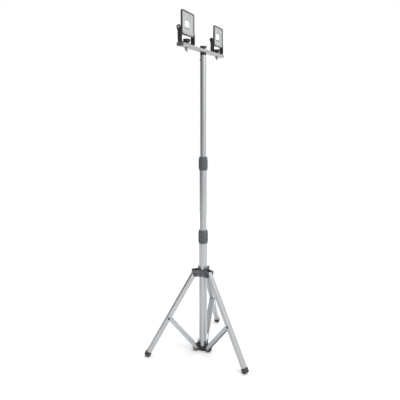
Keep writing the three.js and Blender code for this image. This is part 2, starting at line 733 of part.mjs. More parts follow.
function upperHub() {
  const cheek = new THREE.Shape();
  cheek.moveTo(hubBore, HUB.bottom);
  cheek.lineTo(cheekReach - HUB_CHEEK.chamfer, HUB.bottom);
  cheek.lineTo(cheekReach, HUB.bottom + 1.6 * HUB_CHEEK.chamfer);
  cheek.lineTo(cheekReach, HUB.top - HUB_CHEEK.corner);
  cheek.absarc(
    cheekReach - HUB_CHEEK.corner,
    HUB.top - HUB_CHEEK.corner,
    HUB_CHEEK.corner,
    0,
    Math.PI / 2,
  );
  cheek.lineTo(hubBore - 2, HUB.top);
  cheek.lineTo(hubBore - 2, HUB.bottom);
  const pinHole = placed(
    rod(holeRadius, -cheekOuter - 1, cheekOuter + 1, PIN_SIDES, "y"),
    0,
    UPPER_PIN.radius,
    0,
    UPPER_PIN.z,
  );
  const lug = cut(
    join(
      pulled(cheek, BACK, -cheekOuter, -cheekInner),
      pulled(cheek, BACK, cheekInner, cheekOuter),
      ...tubeFins(HUB.top - 5, HUB.top + FIN.rise),
    ),
    pinHole,
  );
  const lugs = LEG_AZIMUTHS.map((azimuth) => placed(lug, azimuth));
  const boss = rod(LOCK.boss, hubRing - 4, bossReach, 2 * PIN_SIDES, "x");
  const screwHole = rod(LOCK.shaft + GAP, 0, bossReach + 1, PIN_SIDES, "x");
  return cut(
    join(
      rod(hubRing, HUB.bottom, HUB.top, SIDES),
      ...lugs,
      placed(boss, LOCK.azimuth, 0, 0, LOCK.z),
    ),
    rod(hubBore, HUB.bottom - 1, HUB.top + FIN.rise + 1, SIDES),
    placed(screwHole, LOCK.azimuth, 0, 0, LOCK.z),
  );
}

const lockSeat = bossReach + GAP;

function lockKnob() {
  const outline = lobedOutline(LOCK.knob, 6, 0.16 * LOCK.knob);
  const head = pulled(outline, ALONG_X, lockSeat, lockSeat + LOCK.knobLength, 1.4);
  return cut(head, rod(LOCK.shaft + GAP, 0, lockSeat + LOCK.knobLength - 3, PIN_SIDES, "x"));
}

function lockScrew() {
  return rod(LOCK.shaft, hubBore + GAP, lockSeat + LOCK.knobLength - 3 - GAP, PIN_SIDES, "x");
}

add(workLight, "lower_hub", lowerHub(), blackPlastic);
add(workLight, "upper_hub", upperHub(), greyPlastic);
const lock = group(workLight, 0, 0, LOCK.z);
lock.rotation.z = THREE.MathUtils.degToRad(LOCK.azimuth);
add(lock, "lock_knob", lockKnob(), blackPlastic);
add(lock, "lock_screw", lockScrew(), zincPlate);

// ---- Legs, struts, feet and pins --------------------------------------------------------------

// Where the foot's end sits on the leg's axis, so that its rounded edge just meets the floor.
const footHalf = legHalf + FOOT.wall;
const footEndZ =
  FOOT.round * (1 - Math.cos(legAngle)) + (footHalf - FOOT.round) * Math.sin(legAngle);
const footEnd = (UPPER_PIN.z - footEndZ) / Math.cos(legAngle); // from the top pin
const legEnd = footEnd - FOOT.floor - GAP;

function crossHole(radius, z) {
  return placed(rod(radius, -LEG_WIDTH, LEG_WIDTH, PIN_SIDES, "y"), 0, 0, 0, z);
}

// A leg tube hanging down from its top pin.
function legTube() {
  const inner = LEG_WIDTH - 2 * LEG_WALL;
  const outline = roundedRect(LEG_WIDTH, LEG_WIDTH, LEG_CORNER);
  outline.holes.push(roundedRect(inner, inner, LEG_CORNER - LEG_WALL));
  return cut(
    pulled(outline, UP, -legEnd, LEG_ABOVE_PIN),
    crossHole(PIN_RADIUS + HUB_PIN_PLAY, 0),
    crossHole(holeRadius, -STRUT_PIN_ALONG_LEG),
  );
}

function legFoot() {
  const size = 2 * footHalf;
  const socket = LEG_WIDTH + 2 * GAP;
  const rim = -footEnd + FOOT.length;
  const outer = pulled(
    roundedRect(size, size, FOOT.corner),
    UP,
    -footEnd,
    rim + 2 * FOOT.round,
    FOOT.round,
  );
  return cut(
    outer,
    box(-size, size, -size, size, rim, rim + 3 * FOOT.round),
    pulled(roundedRect(socket, socket, LEG_CORNER + GAP), UP, -footEnd + FOOT.floor, rim + 1),
  );
}

// A strut standing up from its lower pin, open towards +X.
function strutChannel() {
  const web = -strutOuter;
  const side = new THREE.Shape();
  side.moveTo(STRUT.end, 0);
  side.lineTo(STRUT.lip, STRUT.end);
  side.lineTo(STRUT.lip, strutLength - STRUT.end);
  side.lineTo(STRUT.end, strutLength);
  side.absarc(0, strutLength, STRUT.end, 0, Math.PI);
  side.lineTo(web, strutLength - STRUT.notchHigh);
  side.lineTo(web, STRUT.notchLow);
  side.lineTo(-STRUT.end, STRUT.end);
  side.absarc(0, 0, STRUT.end, Math.PI, 2 * Math.PI);
  const far = 2 * strutOuter;
  return cut(
    pulled(side, BACK, -strutOuter, strutOuter),
    box(-strutInner, far, -strutInner, strutInner, -far, strutLength + far),
    box(-far, far, -strutInner, strutInner, -far, STRUT.notchLow),
    box(-far, far, -strutInner, strutInner, strutLength - STRUT.notchHigh, strutLength + far),
    crossHole(holeRadius, 0),
    crossHole(holeRadius, strutLength),
  );
}

// A rivet across the leg plane, with a domed head outside each wall.
function rivet(half) {
  const seat = half + GAP;
  const top = seat + PIN_HEAD.height;
  const profile = [
    [0, -top],
    [PIN_HEAD.radius - 1.6, -top],
    [PIN_HEAD.radius, -seat - 0.7],
    [PIN_HEAD.radius, -seat],
    [PIN_RADIUS, -seat],
    [PIN_RADIUS, seat],
    [PIN_HEAD.radius, seat],
    [PIN_HEAD.radius, seat + 0.7],
    [PIN_HEAD.radius - 1.6, top],
    [0, top],
  ];
  return turned(profile, PIN_SIDES, "y");
}

LEG_AZIMUTHS.forEach((azimuth, i) => {
  const number = i + 1;
  const side = group(workLight, 0, 0, 0);
  side.rotation.z = THREE.MathUtils.degToRad(azimuth);

  const leg = group(side, UPPER_PIN.radius, 0, UPPER_PIN.z);
  leg.rotation.y = -legAngle;
  add(leg, "leg_" + number, legTube(), aluminium);
  add(leg, "foot_" + number, legFoot(), rubber);

  const strut = group(side, LOWER_PIN.radius, 0, LOWER_PIN.z);
  strut.rotation.y = strutAngle;
  add(strut, "strut_" + number, strutChannel(), zincPlate);

  const pins = [
    ["upper_pin_", UPPER_PIN, cheekOuter],
    ["middle_pin_", strutPin, strutOuter],
    ["lower_pin_", LOWER_PIN, strutOuter],
  ];
  for (const [name, place, half] of pins) {
    add(side, name + number, rivet(half), paintedSteel).position.set(place.radius, 0, place.z);
  }
});

export default workLight;
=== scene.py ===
# Work light on a telescopic tripod stand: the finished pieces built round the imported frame.
# Shapes are made in millimetres, in the piece's own place, then put into the frame in metres.

import math

import bmesh
import bpy
from mathutils import Matrix, Vector


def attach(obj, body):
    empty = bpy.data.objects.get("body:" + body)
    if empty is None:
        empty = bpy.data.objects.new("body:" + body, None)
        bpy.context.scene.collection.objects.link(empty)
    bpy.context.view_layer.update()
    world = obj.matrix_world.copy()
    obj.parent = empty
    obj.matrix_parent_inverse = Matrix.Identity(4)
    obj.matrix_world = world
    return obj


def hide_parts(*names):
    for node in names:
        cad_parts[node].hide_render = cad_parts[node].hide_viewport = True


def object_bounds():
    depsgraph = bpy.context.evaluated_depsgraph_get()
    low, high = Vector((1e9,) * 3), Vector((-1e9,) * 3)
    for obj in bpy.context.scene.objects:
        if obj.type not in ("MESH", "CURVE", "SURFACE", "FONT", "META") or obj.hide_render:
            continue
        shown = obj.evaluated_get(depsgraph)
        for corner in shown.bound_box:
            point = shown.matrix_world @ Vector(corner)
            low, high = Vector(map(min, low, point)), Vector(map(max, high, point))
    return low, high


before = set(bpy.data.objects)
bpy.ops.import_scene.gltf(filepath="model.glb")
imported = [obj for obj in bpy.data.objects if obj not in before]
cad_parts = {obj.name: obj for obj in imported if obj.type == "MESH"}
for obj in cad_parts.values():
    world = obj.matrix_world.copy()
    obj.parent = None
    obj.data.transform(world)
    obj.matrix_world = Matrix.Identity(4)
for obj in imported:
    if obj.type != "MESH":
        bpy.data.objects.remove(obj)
cad_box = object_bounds()

MM = 0.001
TURN = 2 * math.pi
SMOOTH_UNDER = math.radians(30)

# ---- Materials ------------------------------------------------------------------------------


def linear(hex_colour):
    """An sRGB hex colour as linear RGBA."""
    channels = [int(hex_colour[i : i + 2], 16) / 255 for i in (1, 3, 5)]
    return [c / 12.92 if c <= 0.04045 else ((c + 0.055) / 1.055) ** 2.4 for c in channels] + [1]


def node(tree, kind, inputs=None, **settings):
    """Adds a node. inputs holds a value or a feeding socket for each named or numbered input."""
    made = tree.nodes.new("ShaderNode" + kind)
    for name, value in settings.items():
        setattr(made, name, value)
    for name, value in (inputs or {}).items():
        if isinstance(value, bpy.types.NodeSocket):
            tree.links.new(value, made.inputs[name])
        else:
            made.inputs[name].default_value = value
    return made


def new_finish(name, **sockets):
    """A material with one Principled shader, and its tree. sockets are the shader's constants."""
    made = bpy.data.materials.new(name)
    made.use_nodes = True
    tree = made.node_tree
    shader = tree.nodes["Principled BSDF"]
    for socket, value in sockets.items():
        shader.inputs[socket.replace("_", " ")].default_value = value
    return made, tree, shader


def own_place(tree, scale):
    """Coordinates that follow a piece's own length, in cells of the given size in mm along X, Y, Z."""
    place = node(tree, "Attribute", attribute_name="own_place")
    cells = [1 / (size * MM) for size in scale]
    return node(tree, "Mapping", {"Vector": place.outputs["Vector"], "Scale": cells}).outputs[0]


def object_place(tree, scale):
    """Object coordinates in cells of the given size in mm."""
    place = node(tree, "TexCoord")
    cells = [1 / (size * MM) for size in scale]
    return node(tree, "Mapping", {"Vector": place.outputs["Object"], "Scale": cells}).outputs[0]


def mottle(tree, where, dark, light, low=0.3, high=0.7, detail=3.0):
    """A soft wander between two colours or two numbers."""
    noise = node(tree, "TexNoise", {"Vector": where, "Scale": 1.0, "Detail": detail})
    share = node(
        tree,
        "MapRange",
        {"Value": noise.outputs["Fac"], "From Min": low, "From Max": high},
    ).outputs[0]
    if isinstance(dark, str):
        mixed = node(
            tree,
            "Mix",
            {"Factor": share, 6: linear(dark), 7: linear(light)},
            data_type="RGBA",
        )
        return mixed.outputs[2]
    return node(tree, "MapRange", {"Value": share, "To Min": dark, "To Max": light}).outputs[0]


def relief(tree, shader, height, depth_mm, strength):
    """A fine relief of the given depth."""
    bump = node(
        tree,
        "Bump",
        {"Height": height, "Distance": depth_mm * MM, "Strength": strength},
    )
    tree.links.new(bump.outputs[0], shader.inputs["Normal"])


def anodised_aluminium():
    """Drawn tube, satin anodised: a silky silver grey with very fine lines along its length."""
    made, tree, shader = new_finish("satin_anodised_aluminium", Metallic=1.0)
    # Drawing lines are finer than 0.1 mm; 0.5 mm is the finest that shows.
    lines = own_place(tree, (0.5, 0.5, 60))
    clouds = own_place(tree, (9, 9, 70))
    tree.links.new(mottle(tree, clouds, "#adafb1", "#b7b9bb"), shader.inputs["Base Color"])
    tree.links.new(mottle(tree, lines, 0.34, 0.42), shader.inputs["Roughness"])
    height = node(tree, "TexNoise", {"Vector": lines, "Scale": 1.0, "Detail": 2.0})
    relief(tree, shader, height.outputs["Fac"], 0.02, 0.35)
    return made


def zinc_plated_steel():
    """Bright zinc on pressed steel: a cool silver with small cloudy patches."""
    made, tree, shader = new_finish("bright_zinc_plated_steel", Metallic=1.0)
    clouds = own_place(tree, (5, 5, 11))
    grain = own_place(tree, (0.8, 0.8, 0.8))
    tree.links.new(mottle(tree, clouds, "#a6a9ad", "#b6b9bc"), shader.inputs["Base Color"])
    tree.links.new(mottle(tree, clouds, 0.3, 0.45, 0.35, 0.65), shader.inputs["Roughness"])
    height = node(tree, "TexNoise", {"Vector": grain, "Scale": 1.0, "Detail": 2.0})
    relief(tree, shader, height.outputs["Fac"], 0.03, 0.2)
    return made


def moulded(name, dark, light, rough, grain_mm, depth_mm, specular=0.5):
    """A moulded or coated surface: an even colour, a fine sparked grain and a few rubbed places."""
    made, tree, shader = new_finish(name, Specular_IOR_Level=specular)
    patches = object_place(tree, (23, 23, 31))
    grain = object_place(tree, (grain_mm,) * 3)
    rubbed = object_place(tree, (6, 6, 9))
    tree.links.new(mottle(tree, patches, dark, light), shader.inputs["Base Color"])
    smooth = mottle(tree, rubbed, rough + 0.06, rough - 0.08, 0.45, 0.75)
    tree.links.new(smooth, shader.inputs["Roughness"])
    height = node(tree, "TexNoise", {"Vector": grain, "Scale": 1.0, "Detail": 3.0})
    relief(tree, shader, height.outputs["Fac"], depth_mm, 0.5)
    return made


def clear_glass():
    """Toughened float glass: clear, with a thin bright gloss."""
    made, tree, shader = new_finish(
        "toughened_lens_glass",
        IOR=1.5,
        Alpha=0.1,
    )
    shader.inputs["Base Color"].default_value = linear("#e9eeee")
    smears = object_place(tree, (14, 14, 19))
    tree.links.new(mottle(tree, smears, 0.04, 0.1), shader.inputs["Roughness"])
    return made


def reflector_film():
    """Vacuum-metallised plastic sheet with a satin face."""
    made, tree, shader = new_finish("satin_reflector", Metallic=0.35)
    pebbles = object_place(tree, (1.2, 1.2, 1.2))
    clouds = object_place(tree, (30, 30, 30))
    tree.links.new(mottle(tree, clouds, "#9fa1a3", "#abadaf"), shader.inputs["Base Color"])
    tree.links.new(mottle(tree, pebbles, 0.34, 0.44), shader.inputs["Roughness"])
    height = node(tree, "TexVoronoi", {"Vector": pebbles, "Scale": 1.0})
    relief(tree, shader, height.outputs["Distance"], 0.05, 0.25)
    return made


LAMP_MIDDLE = 17  # of the lamp's face above its tilt axis
LIT_FIELD = (28, 17)  # width and height of the lit chips on their board


def led_phosphor():
    """A white ceramic board, with silicone over the lit chips in its middle, plain white."""
    made, tree, shader = new_finish("led_phosphor", Roughness=0.5)
    beads = own_place(tree, (2.2, 2.2, 2.2))
    on_board = node(tree, "SeparateXYZ", {0: own_place(tree, (1, 1, 1))})
    wide, tall = LIT_FIELD
    across = node(tree, "Math", {0: on_board.outputs[0], 1: 0, 2: wide / 2}, operation="COMPARE")
    upright = node(
        tree,
        "Math",
        {0: on_board.outputs[1], 1: LAMP_MIDDLE, 2: tall / 2},
        operation="COMPARE",
    )
    lit = node(
        tree,
        "Math",
        {0: across.outputs[0], 1: upright.outputs[0]},
        operation="MULTIPLY",
    ).outputs[0]
    colour = node(
        tree,
        "Mix",
        {
            "Factor": lit,
            6: mottle(tree, beads, "#b4b6b7", "#bcbebe"),
            7: mottle(tree, beads, "#fffdf6", "#ffffff"),
        },
        data_type="RGBA",
    )
    tree.links.new(colour.outputs[2], shader.inputs["Base Color"])
    glow = node(tree, "Math", {0: lit, 1: 1.1}, operation="MULTIPLY")
    tree.links.new(glow.outputs[0], shader.inputs["Emission Strength"])
    shader.inputs["Emission Color"].default_value = linear("#fffefa")
    return made


ALUMINIUM = anodised_aluminium()
ZINC = zinc_plated_steel()
BLACK_COAT = moulded("black_powder_coat", "#202123", "#2a2b2d", 0.5, 0.7, 0.06)
CASTING = moulded("grey_coated_casting", "#2e3033", "#383a3d", 0.55, 0.9, 0.08)
GREY_PLASTIC = moulded("grey_moulded_nylon", "#494b4e", "#54565a", 0.55, 0.8, 0.05)
BLACK_PLASTIC = moulded("black_moulded_nylon", "#1d1e20", "#28292b", 0.5, 0.8, 0.05)
RUBBER = moulded("grey_black_rubber", "#383a3b", "#444547", 0.8, 1.1, 0.08, 0.3)
GLASS = clear_glass()
REFLECTOR = reflector_film()
PHOSPHOR = led_phosphor()

# ---- Shapes ---------------------------------------------------------------------------------


def span(name, place=None):
    """A CAD node's lowest and highest corners in mm, seen from a place in the frame."""
    back = (place or Matrix()).inverted()
    points = [back @ (v.co / MM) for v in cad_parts[name].data.vertices]
    low = Vector([min(p[i] for p in points) for i in range(3)])
    high = Vector([max(p[i] for p in points) for i in range(3)])
    return low, high


def middle(name):
    low, high = span(name)
    return (low + high) / 2


def moved(bm, matrix):
    bmesh.ops.transform(bm, matrix=matrix, verts=bm.verts)
    return bm


def shift(x=0.0, y=0.0, z=0.0):
    return Matrix.Translation((x, y, z))


def together(*parts):
    """Several closed shapes as one."""
    whole = bmesh.new()
    for part in parts:
        carrier = bpy.data.meshes.new("carrier")
        part.to_mesh(carrier)
        whole.from_mesh(carrier)
        bpy.data.meshes.remove(carrier)
        part.free()
    return whole


def pull(bm, faces, way):
    """Extrudes faces and returns the new end's faces."""
    made = bmesh.ops.extrude_face_region(bm, geom=faces)["geom"]
    ends = [g for g in made if isinstance(g, bmesh.types.BMVert)]
    bmesh.ops.translate(bm, verts=ends, vec=way)
    return [g for g in made if isinstance(g, bmesh.types.BMFace)]


def turned(profile, steps=64, closed=False):
    """A line of (radius, height) points turned once round Z."""
    bm = bmesh.new()
    line = [bm.verts.new((radius, 0, height)) for radius, height in profile]
    edges = [bm.edges.new(pair) for pair in zip(line, line[1:])]
    if closed:
        edges.append(bm.edges.new((line[-1], line[0])))
    bmesh.ops.spin(
        bm,
        geom=line + edges,
        cent=(0, 0, 0),
        axis=(0, 0, 1),
        angle=TURN,
        steps=steps,
        use_merge=True,
    )
    bmesh.ops.remove_doubles(bm, verts=bm.verts, dist=1e-4)
    bmesh.ops.recalc_face_normals(bm, faces=bm.faces)
    return bm


def rounded_sheet(width, height, corner, steps=6):
    """A flat rounded rectangle in X and Y, facing up."""
    bm = bmesh.new()
    bmesh.ops.create_grid(bm, x_segments=1, y_segments=1, size=0.5)
    bmesh.ops.scale(bm, vec=(width, height, 1), verts=bm.verts)
    bmesh.ops.bevel(
        bm,
        geom=bm.verts[:],
        offset=corner,
        segments=steps,
        profile=0.5,
        affect="VERTICES",
        material=-1,
    )
    return bm


def rounded_block(width, height, corner, low, high, steps=6):
    """A rounded rectangle in X and Y, pulled from one height to another."""
    bm = moved(rounded_sheet(width, height, corner, steps), shift(z=low))
    pull(bm, bm.faces[:], (0, 0, high - low))
    bmesh.ops.recalc_face_normals(bm, faces=bm.faces)
    return bm


def hollow_bar(width, height, corner, wall, low, high):
    """A rectangular tube with rounded corners, along Z."""
    bm = moved(rounded_sheet(width, height, corner), shift(z=low))
    inner = bm.faces[:]
    bmesh.ops.inset_individual(bm, faces=inner, thickness=wall)
    bmesh.ops.delete(bm, geom=inner, context="FACES_ONLY")
    pull(bm, bm.faces[:], (0, 0, high - low))
    bmesh.ops.recalc_face_normals(bm, faces=bm.faces)
    return bm


def slab(corners, thickness, rounds=(), at=0.0):
    """A flat outline in X and Z, as thick as said along Y about y = at, some corners rounded."""
    bm = bmesh.new()
    points = [bm.verts.new((x, at - thickness / 2, z)) for x, z in corners]
    bm.faces.new(points)
    for number, radius in rounds:
        bmesh.ops.bevel(
            bm,
            geom=[points[number]],
            offset=radius,
            segments=8,
            profile=0.5,
            affect="VERTICES",
            material=-1,
        )
    pull(bm, bm.faces[:], (0, thickness, 0))
    bmesh.ops.recalc_face_normals(bm, faces=bm.faces)
    return bm


def lobed_head(radius, lobes, depth, low, high):
    """A hand grip: a star drawn in between its lobes, with every point rounded."""
    bm = bmesh.new()
    bmesh.ops.create_circle(bm, cap_ends=True, radius=radius, segments=2 * lobes)
    hollows = bm.verts[:][1::2]
    share = 1 - depth / radius
    bmesh.ops.scale(bm, vec=(share, share, 1), verts=hollows)
    bmesh.ops.bevel(
        bm,
        geom=bm.verts[:],
        offset=radius * math.pi / lobes * 0.4,
        segments=6,
        profile=0.5,
        affect="VERTICES",
        material=-1,
    )
    reach = max(v.co.xy.length for v in bm.verts)
    bmesh.ops.scale(bm, vec=(radius / reach, radius / reach, 1), verts=bm.verts)
    moved(bm, shift(z=low))
    pull(bm, bm.faces[:], (0, 0, high - low))
    bmesh.ops.recalc_face_normals(bm, faces=bm.faces)
    return bm


def finished(name, bm, finish, body, nodes, place=None, edge=0.0, segments=2):
    """Puts a shape in its place as a piece of the object. edge is its edges' rounding in mm."""
    layer = bm.verts.layers.float_vector.new("own_place")
    for v in bm.verts:
        v[layer] = v.co * MM
    moved(bm, Matrix.Scale(MM, 4) @ (place or Matrix()))
    mesh = bpy.data.meshes.new(name)
    bm.to_mesh(mesh)
    bm.free()
    mesh.materials.append(finish)
    mesh.shade_smooth()
    mesh.set_sharp_from_angle(angle=SMOOTH_UNDER)
    piece = bpy.data.objects.new(name, mesh)
    bpy.context.scene.collection.objects.link(piece)
    if edge:
        rounding = piece.modifiers.new("edges", "BEVEL")
        rounding.width = edge * MM
        rounding.segments = segments
        rounding.limit_method = "ANGLE"
        rounding.angle_limit = SMOOTH_UNDER
        rounding.harden_normals = True
    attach(piece, body)
    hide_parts(*nodes)
    return piece


# ---- Mast -----------------------------------------------------------------------------------


def mast_tube(node_name, body, wall):
    low, high = span(node_name)
    line = [
        (high.x - wall, low.z),
        (high.x, low.z),
        (high.x, high.z),
        (high.x - wall, high.z),
    ]
    shape = turned(line, closed=True)
    finished(
        "drawn_" + node_name,
        shape,
        ALUMINIUM,
        body,
        [node_name],
        edge=0.3,
    )


mast_tube("lower_tube", "mast", 1.6)
mast_tube("middle_tube", "middle_mast", 1.4)
mast_tube("upper_tube", "upper_mast", 1.4)

RIBS = 18  # grips round a collar


def twist_collar(node_name, tube_radius, inner_radius, seat):
    """A collar whose grip has shallow upright panels, with a stepped foot and a rounded shoulder."""
    low, high = span(node_name)
    outer = high.x
    end = outer - 1.2
    grip = tube_radius + 0.3
    throat = inner_radius + 0.3
    rim = throat + 0.62 * (outer - throat)
    line = [
        (grip, low.z),
        (end - 0.6, low.z),
        (end, low.z + 1),
        (end, low.z + 5.6),
        (outer - 0.3, low.z + 6.6),
        (outer, low.z + 8),
        (outer, seat - 8),
        (outer - 0.3, seat - 6.6),
        (end, seat - 5.6),
        (end - 0.3, high.z - 4.2),
        (end - 0.9, high.z - 2.6),
        ((end + rim) / 2, high.z - 1),
        (rim, high.z),
        (throat, high.z),
        (throat, seat),
        (grip, seat),
    ]
    bm = turned(line, steps=4 * RIBS, closed=True)
    panels = []
    for face in bm.faces:
        centre = face.calc_center_median()
        column = round(math.atan2(centre.y, centre.x) / TURN * 4 * RIBS - 0.5) % 4
        if low.z + 8 < centre.z < seat - 8 and centre.xy.length > outer - 0.5 and column:
            panels.append(face)
    bmesh.ops.inset_region(bm, faces=panels, thickness=0.5, depth=-0.55)
    finished(
        node_name + "_grip",
        bm,
        GREY_PLASTIC,
        node_name,
        [node_name],
        edge=0.25,
    )


twist_collar("lower_collar", 17.5, 14.25, 551.6)
twist_collar("upper_collar", 14.25, 11.45, 860.6)

# The clamp bushes are inside the collars, so their frame solids stay.
for node_name in ("lower_bush", "upper_bush"):
    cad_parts[node_name].data.materials.clear()
    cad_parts[node_name].data.materials.append(BLACK_PLASTIC)

# ---- Top of the mast --------------------------------------------------------------------------


def bar_socket():
    low, high = span("bar_socket")
    seat = span("upper_tube")[1].z + 0.3
    line = [
        (4.3, low.z),
        (9.75, low.z),
        (9.75, seat),
        (high.x, seat),
        (high.x, seat + 1.2),
        (high.x - 0.7, seat + 2.2),
        (high.x - 0.7, high.z - 2),
        (high.x, high.z - 1),
        (high.x, high.z),
        (4.3, high.z),
    ]
    finished(
        "bar_socket_collar",
        turned(line, closed=True),
        BLACK_PLASTIC,
        "upper_mast",
        ["bar_socket"],
        edge=0.3,
    )


def along(azimuth, x=0.0, z=0.0):
    """The place whose Z runs out from the mast at an azimuth, starting x from the axis, z up."""
    return (
        Matrix.Rotation(math.radians(azimuth), 4, "Z")
        @ shift(x, 0, z)
        @ Matrix.Rotation(math.pi / 2, 4, "Y")
    )


SET_SCREW_AZIMUTH = 124.12


def set_screw():
    place = along(SET_SCREW_AZIMUTH, 0, middle("socket_screw").z)
    low, high = span("socket_screw", place)
    head = high.z - 1.2
    line = [
        (0, low.z),
        (1.8, low.z),
        (1.8, head),
        (3, head),
        (3, head + 0.5),
        (2.4, high.z),
        (1.3, high.z),
        (1.1, head + 0.3),
        (0, head + 0.3),
    ]
    finished(
        "socket_set_screw",
        turned(line, 24),
        BLACK_COAT,
        "upper_mast",
        ["socket_screw"],
        place,
    )


bar_socket()
set_screw()


def hand_knob(name, node_name, body, lobes, stem, stem_height):
    """A lobed grip on a round stem, with a raised centre on top."""
    place = shift(*middle(node_name).xy, span(node_name)[0].z)
    _, high = span(node_name, place)
    radius = high.x
    grip = lobed_head(radius, lobes, 0.17 * radius, stem_height, high.z - 0.6)
    foot = turned([(4.3, 0), (stem, 0), (stem - 0.4, stem_height + 2), (4.3, stem_height + 2)], closed=True)
    crown_line = [
        (0, high.z - 3),
        (0.55 * radius, high.z - 3),
        (0.55 * radius, high.z - 0.3),
        (0.5 * radius, high.z),
        (0.38 * radius, high.z),
        (0.34 * radius, high.z - 0.4),
        (0, high.z - 0.4),
    ]
    finished(
        name,
        together(grip, foot, turned(crown_line, 48)),
        BLACK_PLASTIC,
        body,
        [node_name],
        place,
        edge=0.9,
        segments=3,
    )


def stud(name, node_name, body):
    """A threaded stud; the thread is a row of fine rings."""
    place = shift(*middle(node_name).xy, 0)
    low, high = span(node_name, place)
    pitch = 1.25
    line = [(0, low.z), (3, low.z)]
    height = low.z + 0.8
    while height + pitch < low.z + 22:
        line += [(3.55, height), (4, height + 0.35 * pitch), (4, height + 0.5 * pitch)]
        height += pitch
    line += [(3.9, height), (3.9, high.z), (0, high.z)]
    finished(
        name,
        turned(line, 32),
        ZINC,
        body,
        [node_name],
        place,
    )


hand_knob("top_clamp_knob", "top_knob", "top_knob", 7, 6, 3)
stud("top_clamp_stud", "top_knob_stud", "top_knob")

# ---- Crossbar ---------------------------------------------------------------------------------

LYING_X = Matrix(((0, 0, 1, 0), (1, 0, 0, 0), (0, 1, 0, 0), (0, 0, 0, 1)))


def crossbar():
    place = shift(0, 0, middle("crossbar").z) @ LYING_X
    low, high = span("crossbar", place)
    bar = hollow_bar(high.x - low.x, high.y - low.y, 4, 1.6, low.z, high.z)
    finished(
        "crossbar_tube",
        bar,
        ALUMINIUM,
        "crossbar",
        ["crossbar"],
        place,
        edge=0.3,
    )


def end_cap(side, turn):
    """A push-in cap with a softly domed face and a plug inside the bar."""
    node_name = "end_cap_" + side
    place = (
        Matrix.Rotation(turn, 4, "Z") @ shift(0, 0, middle("crossbar").z) @ LYING_X
    )
    low, high = span(node_name, place)
    face = span("crossbar", place)[1].z + 0.3
    head = rounded_block(high.x - low.x, high.y - low.y, 4, face, high.z)
    rim = [
        e
        for e in head.edges
        if all(abs(v.co.z - high.z) < 0.01 for v in e.verts)
    ]
    bmesh.ops.bevel(
        head,
        geom=rim,
        offset=2.4,
        segments=4,
        profile=0.5,
        affect="EDGES",
        material=-1,
    )
    plug = rounded_block(20.2, 8.2, 2, low.z, face + 1)
    finished(
        "bar_cap_" + side,
        together(head, plug),
        GREY_PLASTIC,
        "crossbar",
        [node_name],
        place,
        edge=0.3,
    )


def stud_nut(side):
    """A hexagon nut with a round hole."""
    node_name = "stud_nut_" + side
    place = shift(*middle(node_name))
    low, high = span(node_name, place)
    bm = bmesh.new()
    across_corners = 13 / math.sqrt(3)
    outside = bmesh.ops.create_circle(bm, radius=across_corners, segments=6)["verts"]
    rim = list({e for v in outside for e in v.link_edges})
    bmesh.ops.subdivide_edges(bm, edges=rim, cuts=3)
    rim = bm.edges[:]
    inside = bmesh.ops.create_circle(bm, radius=4.3, segments=24)["verts"]
    hole = list({e for v in inside for e in v.link_edges})
    bmesh.ops.bridge_loops(bm, edges=rim + hole)
    moved(bm, shift(z=low.z))
    pull(bm, bm.faces[:], (0, 0, high.z - low.z))
    bmesh.ops.recalc_face_normals(bm, faces=bm.faces)
    finished(
        "bar_nut_" + side,
        bm,
        ZINC,
        "crossbar",
        [node_name],
        place,
        edge=0.4,
    )


crossbar()
end_cap("right", 0)
end_cap("left", math.pi)

# ---- Lamp brackets ----------------------------------------------------------------------------


def lamp_bracket(side):
    """Bent strap: a floor, two bends, and arms that end in a round eye set back from the floor."""
    node_name = "bracket_" + side
    base = span(node_name)[0].z
    place = shift(middle(node_name).x, 0, base)
    _, high = span(node_name, place)
    wall, half, set_back, eye = 2.5, 8, 4, 7.99
    pivot = high.z - 8
    bm = bmesh.new()
    bmesh.ops.create_grid(bm, x_segments=1, y_segments=1, size=1)
    bmesh.ops.scale(bm, vec=(high.x, half, 1), verts=bm.verts)
    rises = ((0, pivot - 12), (set_back, 12), (0, 8))
    for end in (-1, 1):
        edge = next(e for e in bm.edges if all(v.co.x * end > high.x - 0.01 for v in e.verts))
        for back, up in rises:
            made = bmesh.ops.extrude_edge_only(bm, edges=[edge])["geom"]
            edge = next(g for g in made if isinstance(g, bmesh.types.BMEdge))
            bmesh.ops.translate(bm, verts=edge.verts, vec=(0, back, up))
    bmesh.ops.recalc_face_normals(bm, faces=bm.faces)
    bends = [e for e in bm.edges if e.is_manifold and e.calc_face_angle() > 1]
    bmesh.ops.bevel(
        bm,
        geom=bends,
        offset=6,
        segments=8,
        profile=0.5,
        affect="EDGES",
        material=-1,
    )
    tips = [v for v in bm.verts if v.co.z > high.z - 0.01]
    bmesh.ops.bevel(
        bm,
        geom=tips,
        offset=eye,
        segments=10,
        profile=0.5,
        affect="VERTICES",
        material=-1,
    )
    bmesh.ops.remove_doubles(bm, verts=bm.verts, dist=0.05)
    bmesh.ops.recalc_face_normals(bm, faces=bm.faces)
    outwards = sum(f.normal.z for f in bm.faces if abs(f.normal.z) > 0.9) < 0
    bmesh.ops.solidify(bm, geom=bm.faces[:], thickness=wall if outwards else -wall)
    bmesh.ops.recalc_face_normals(bm, faces=bm.faces)
    finished(
        "lamp_bracket_" + side,
        bm,
        BLACK_COAT,
        node_name,
        [node_name],
        place,
        edge=0.5,
    )


# ---- Lamps ------------------------------------------------------------------------------------

# A lamp is drawn lying on its back: X across, Y up the lamp, Z out of its face.
FACING = Matrix(((1, 0, 0, 0), (0, 0, -1, 0), (0, 1, 0, 0), (0, 0, 0, 1)))


